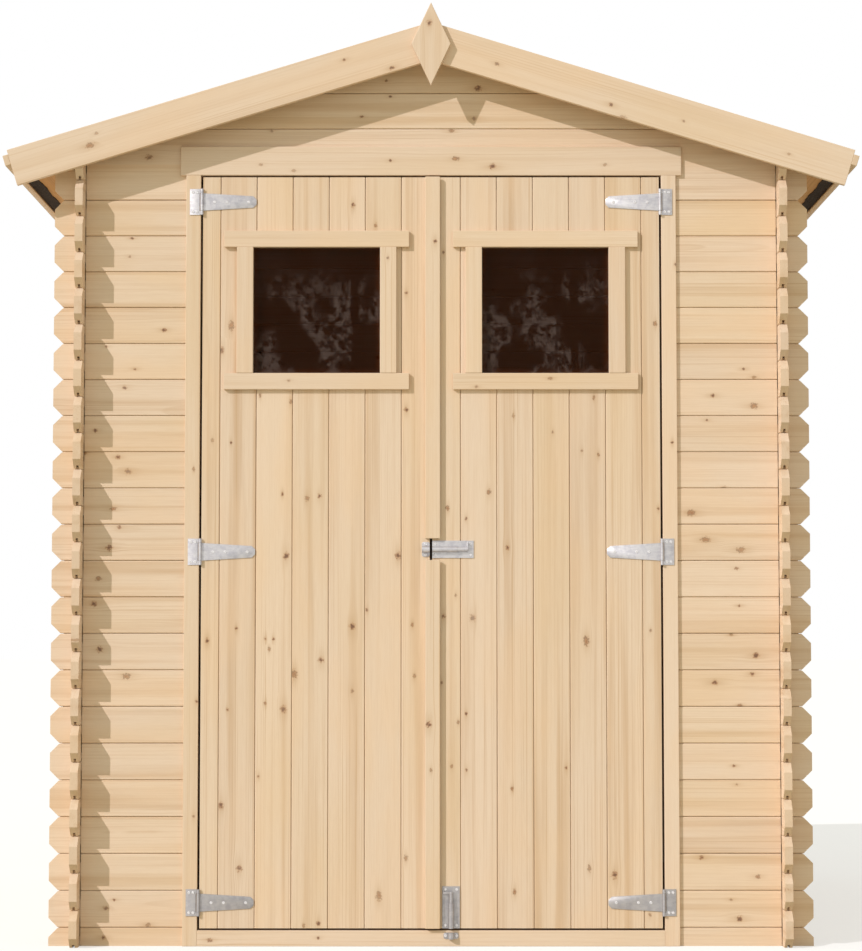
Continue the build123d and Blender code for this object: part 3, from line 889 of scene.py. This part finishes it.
for post in ("door_jamb_left", "door_jamb_right"):
    planedNode(post, zAxis, xAxis)
for beam in ("door_head", "door_threshold"):
    planedNode(beam, xAxis, zAxis)
for sideName, way in (("left", -1), ("right", 1)):
    downSlope, upSlope = slopes(way)
    ridgePlace = Vector((0, 0, ridgeLevel)).dot(downSlope)
    roofJoints = [ridgePlace + roofWork["cover"] * (n + 1) for n in range(roofWork["boards"])]
    boardedNode("roof_boards_" + sideName, downSlope, roofJoints, yAxis, arris=roofWork["arris"])
    for end in ("front", "back"):
        planedNode("bargeboard_" + end + "_" + sideName, downSlope, upSlope)
    planedNode("eave_lath_" + sideName, yAxis, upSlope)
for end in ("front", "back"):
    planedNode("finial_" + end, zAxis, xAxis)
planedNode("ridge_purlin", yAxis, zAxis)
planedNode("floor_joists", yAxis, xAxis)
floorJoints = [floorWork["start"] + floorWork["cover"] * n for n in range(floorWork["boards"])]
boardedNode("floor_boards", yAxis, floorJoints, xAxis)
print("roof and floor boarded")


# Roofing felt, with a ridge strip lapped over it and a hand-cut edge turned in under the eaves

feltWork = {
    "step": 0.03,  # spacing of the points along the hand-cut edge
    "tuck": 0.036, "thick": 0.0025,  # how far the felt is turned in, and its thickness
    "cutBack": 0.009, "cornerRun": 0.09, "wander": 0.0014,  # cut of the turned edge, less at the gables
    "waves": (31, 83),
    "lap": 0.19, "lapHeight": 0.0016, "lapEdge": 0.0008,  # the ridge strip's reach, rise and edge
}


def makeFelt(work):
    sheet = nodeShape("roof_felt")
    reach = max(v.co.y for v in sheet.verts)
    place = work["step"] - reach
    while place < reach:
        cutAcross(sheet, yAxis * place, yAxis)
        place += work["step"]
    ridge = Vector((0, 0, ridgeLevel))
    crown = [v for v in sheet.verts if abs(v.co.x) < samePlace]
    crownLevel = max(v.co.z for v in crown)
    crown = [v for v in crown if v.co.z > crownLevel - 0.001]
    bmesh.ops.translate(sheet, verts=crown, vec=zAxis * (work["lapHeight"] / math.cos(pitch)))
    for way in (-1, 1):
        downSlope, upSlope = slopes(way)

        # the ridge strip
        topFace = max((v.co - ridge).dot(upSlope) for v in sheet.verts if v.co.x * way > 0.5)
        lapEnd = work["lap"] + work["lapEdge"]
        for run in (work["lap"], lapEnd):
            cutAcross(sheet, ridge + downSlope * run, downSlope)
        for vert in sheet.verts:
            run, rise = (vert.co - ridge).dot(downSlope), (vert.co - ridge).dot(upSlope)
            if vert.co.x * way > samePlace and run < lapEnd + samePlace and rise > topFace - 0.001:
                height = topFace + work["lapHeight"] * (run < work["lap"] + samePlace)
                vert.co += upSlope * (height - rise)

        # the edge turned in under the eave
        ends = [v.co.dot(downSlope) for v in sheet.verts]
        inner = max(ends) - work["thick"] - work["tuck"]
        under = [v for v in sheet.verts if v.co.x * way > 0.5 and abs(v.co.dot(downSlope) - inner) < 0.004]
        phase = chance.random() * 6
        slow, quick = work["waves"]
        for vert in under:
            wave = math.sin(vert.co.y * slow + phase) + 0.6 * math.sin(vert.co.y * quick + 2 * phase)
            narrowed = min(1, (reach - abs(vert.co.y)) / work["cornerRun"]) * work["cutBack"]
            vert.co += downSlope * (narrowed + work["wander"] * (wave + 1.6))
    makePiece("feltSheet", "roof_felt", [sheet])


makeFelt(feltWork)
print("felt laid")


# Ironmongery: zinc-plated hinges, bolts and keepers with their cross-head screws

screwWork = {
    "radius": 0.0036, "height": 0.0012, "sides": 12, "taper": 0.72,
    "recess": 0.0009, "rim": 0.14, "arm": 0.3,  # the cross: its depth, the rim left round it, its waist
}
hingeWork = {
    "levels": (0.104, 0.945, 1.798), "pin": 0.55825, "plateFace": -0.904,
    "plateScrews": ((0.012, 0.024), (0.012, -0.024), (0.022, 0.024), (0.022, -0.024)),  # from the pin
    "strapScrews": (0.031, 0.061, 0.114),
}
boltWork = {
    "middle": (0.003, 0.951), "bottom": (0.048, 0.043),  # the near end of each bolt's plate
    "length": 0.1, "width": 0.042, "inset": 0.0075, "edge": 0.0004,
}
keeperWork = {"side": -0.0125, "level": 0.0255, "spread": 0.013, "corner": 0.005}


def screwHead(side, level, work):
    # a cross-head screw on the front of a plate
    head = bmesh.new()
    size, height = work["radius"], work["height"]
    bmesh.ops.create_cone(
        head, cap_ends=True, segments=work["sides"], radius1=size, radius2=size * work["taper"], depth=height
    )
    turn = math.pi / 12 - max(v.co.to_2d().angle_signed(Vector((1, 0))) % (math.pi / 6) for v in head.verts)
    bmesh.ops.rotate(head, verts=head.verts, cent=(0, 0, 0), matrix=Matrix.Rotation(turn, 3, "Z"))
    top = max(head.faces, key=lambda f: f.calc_center_median().z)
    bmesh.ops.inset_region(head, faces=[top], thickness=size * work["rim"], use_even_offset=True)
    corners = [v for v in top.verts if abs(math.degrees(math.atan2(abs(v.co.y), abs(v.co.x))) - 45) < 10]
    bmesh.ops.scale(head, verts=corners, vec=(work["arm"], work["arm"], 1))
    sunk = bmesh.ops.extrude_face_region(head, geom=[top])["geom"]
    bmesh.ops.delete(head, geom=[top], context="FACES_ONLY")
    sunkVerts = [item for item in sunk if isinstance(item, bmesh.types.BMVert)]
    bmesh.ops.translate(head, verts=sunkVerts, vec=(0, 0, -work["recess"]))
    freshLayer = head.faces.layers.float_vector.new("fresh")
    for face in head.faces:
        face[freshLayer] = (1, 1, 1)
    turned = Matrix.Rotation(math.pi / 2, 4, "X") @ Matrix.Rotation(chance.random() * 3, 4, "Z")
    bmesh.ops.transform(head, matrix=turned, verts=head.verts)
    bmesh.ops.translate(head, verts=head.verts, vec=(side, hingeWork["plateFace"] - height / 2, level))
    return head


def ironNode(node, screws=(), corners=0):
    # a CAD node with softened rims, rounded corners and its screws
    shape = nodeShape(node)
    if corners:
        sides, levels = [v.co.x for v in shape.verts], [v.co.z for v in shape.verts]

        def atCorner(edge):
            # runs through the plate at one of its four corners
            fromSides = [min(v.co.x - min(sides), max(sides) - v.co.x) for v in edge.verts]
            fromLevels = [min(v.co.z - min(levels), max(levels) - v.co.z) for v in edge.verts]
            run = (edge.verts[0].co - edge.verts[1].co).normalized()
            return all(a + b < samePlace for a, b in zip(fromSides, fromLevels)) and abs(run.y) > 0.9

        bevelEdges(shape, corners, atCorner, segments=4)
    shape.normal_update()
    bevelEdges(shape, boltWork["edge"], lambda edge: edge.is_convex and edge.calc_face_angle(0) > 1.2)
    heads = [screwHead(side, level, screwWork) for side, level in screws]
    makePiece("zinc_" + node, node, [shape] + heads, smooth=35)


pin = hingeWork["pin"]
for sideName, way in (("left", -1), ("right", 1)):
    plateScrews = [
        (way * (pin + out), level + rise)
        for level in hingeWork["levels"] for out, rise in hingeWork["plateScrews"]
    ]
    strapScrews = [
        (way * (pin - run), level)
        for level in hingeWork["levels"] for run in hingeWork["strapScrews"]
    ]
    ironNode(sideName + "_hinge_plates", plateScrews)
    ironNode(sideName + "_hinge_straps", strapScrews)
inset, reach = boltWork["inset"], boltWork["width"] / 2 - boltWork["inset"]
ends = (inset, boltWork["length"] - inset)
middleSide, middleLevel = boltWork["middle"]
bottomSide, bottomLevel = boltWork["bottom"]
boltScrews = [(run, way * reach) for run in ends for way in (-1, 1)]  # along and across a bolt's plate
ironNode("middle_bolt_plate", [(middleSide + run, middleLevel + span) for run, span in boltScrews])
ironNode("bottom_bolt_plate", [(bottomSide + span, bottomLevel + run) for run, span in boltScrews])
side, level, apart = keeperWork["side"], keeperWork["level"], keeperWork["spread"]
ironNode("bolt_keeper", [(side, middleLevel + way * apart) for way in (-1, 1)], keeperWork["corner"])
ironNode("threshold_keeper", [(bottomSide + way * apart, level) for way in (-1, 1)], keeperWork["corner"])
for rodName in ("middle_bolt_rod", "bottom_bolt_rod"):
    ironNode(rodName)
print("ironmongery fitted")


# Floor, sun and sky

lightPlan = {
    "travel": (1.26, 1.0, -1.0),  # the way the sunlight goes
    "sun": 2.4, "sunColour": (0.98, 0.958, 0.968), "sunSize": 0.6,  # size in degrees
    "sky": (0.68, 0.67, 0.575),
    "floor": (190, 184, 156), "mottle": (196, 190, 164), "mottleScale": 30,
    "white": (1, 1, 1, 1),
}


def addLight(plan):
    sun = bpy.data.objects.new("sun", bpy.data.lights.new("sun", "SUN"))
    sun.data.energy = plan["sun"]
    sun.data.angle = math.radians(plan["sunSize"])
    sun.data.color = plan["sunColour"]
    sun.rotation_euler = Vector(plan["travel"]).to_track_quat("-Z", "Y").to_euler()
    bpy.context.scene.collection.objects.link(sun)
    world = bpy.data.worlds.new("paleSky")
    world.use_nodes = True
    tree = world.node_tree
    background = tree.nodes["Background"]
    colour = blend(tree, seenDirectly(tree), (*plan["sky"], 1), plan["white"])
    tree.links.new(colour, background.inputs["Color"])
    bpy.context.scene.world = world


def addFloor(plan):
    shape = bmesh.new()
    bmesh.ops.create_grid(shape, x_segments=1, y_segments=1, size=60)
    mesh = bpy.data.meshes.new("floor")
    shape.to_mesh(mesh)
    shape.free()
    floor = bpy.data.objects.new("floor", mesh)
    bpy.context.scene.collection.objects.link(floor)
    material, tree, shader = newMaterial("paleFloor")
    place = tree.nodes.new("ShaderNodeTexCoord").outputs["Object"]
    mottle = noise(tree, place, plan["mottleScale"], detail=3)
    shader.inputs["Roughness"].default_value = 0.9
    shader.inputs["Specular IOR Level"].default_value = 0.1
    glow = tree.nodes.new("ShaderNodeEmission")
    seen = seenDirectly(tree)
    shade = blend(tree, mottle, paint(*plan["floor"]), paint(*plan["mottle"]))
    tree.links.new(blend(tree, seen, shade, plan["white"]), shader.inputs["Base Color"])
    mix = tree.nodes.new("ShaderNodeMixShader")
    tree.links.new(times(tree, seen, 0.5), mix.inputs[0])
    tree.links.new(shader.outputs[0], mix.inputs[1])
    tree.links.new(glow.outputs[0], mix.inputs[2])
    output = next(node for node in tree.nodes if node.type == "OUTPUT_MATERIAL")
    tree.links.new(mix.outputs[0], output.inputs["Surface"])
    mesh.materials.append(material)


addLight(lightPlan)
addFloor(lightPlan)
bpy.context.scene.view_settings.view_transform = "Standard"
print("light and floor in place")

bpy.context.view_layer.update()
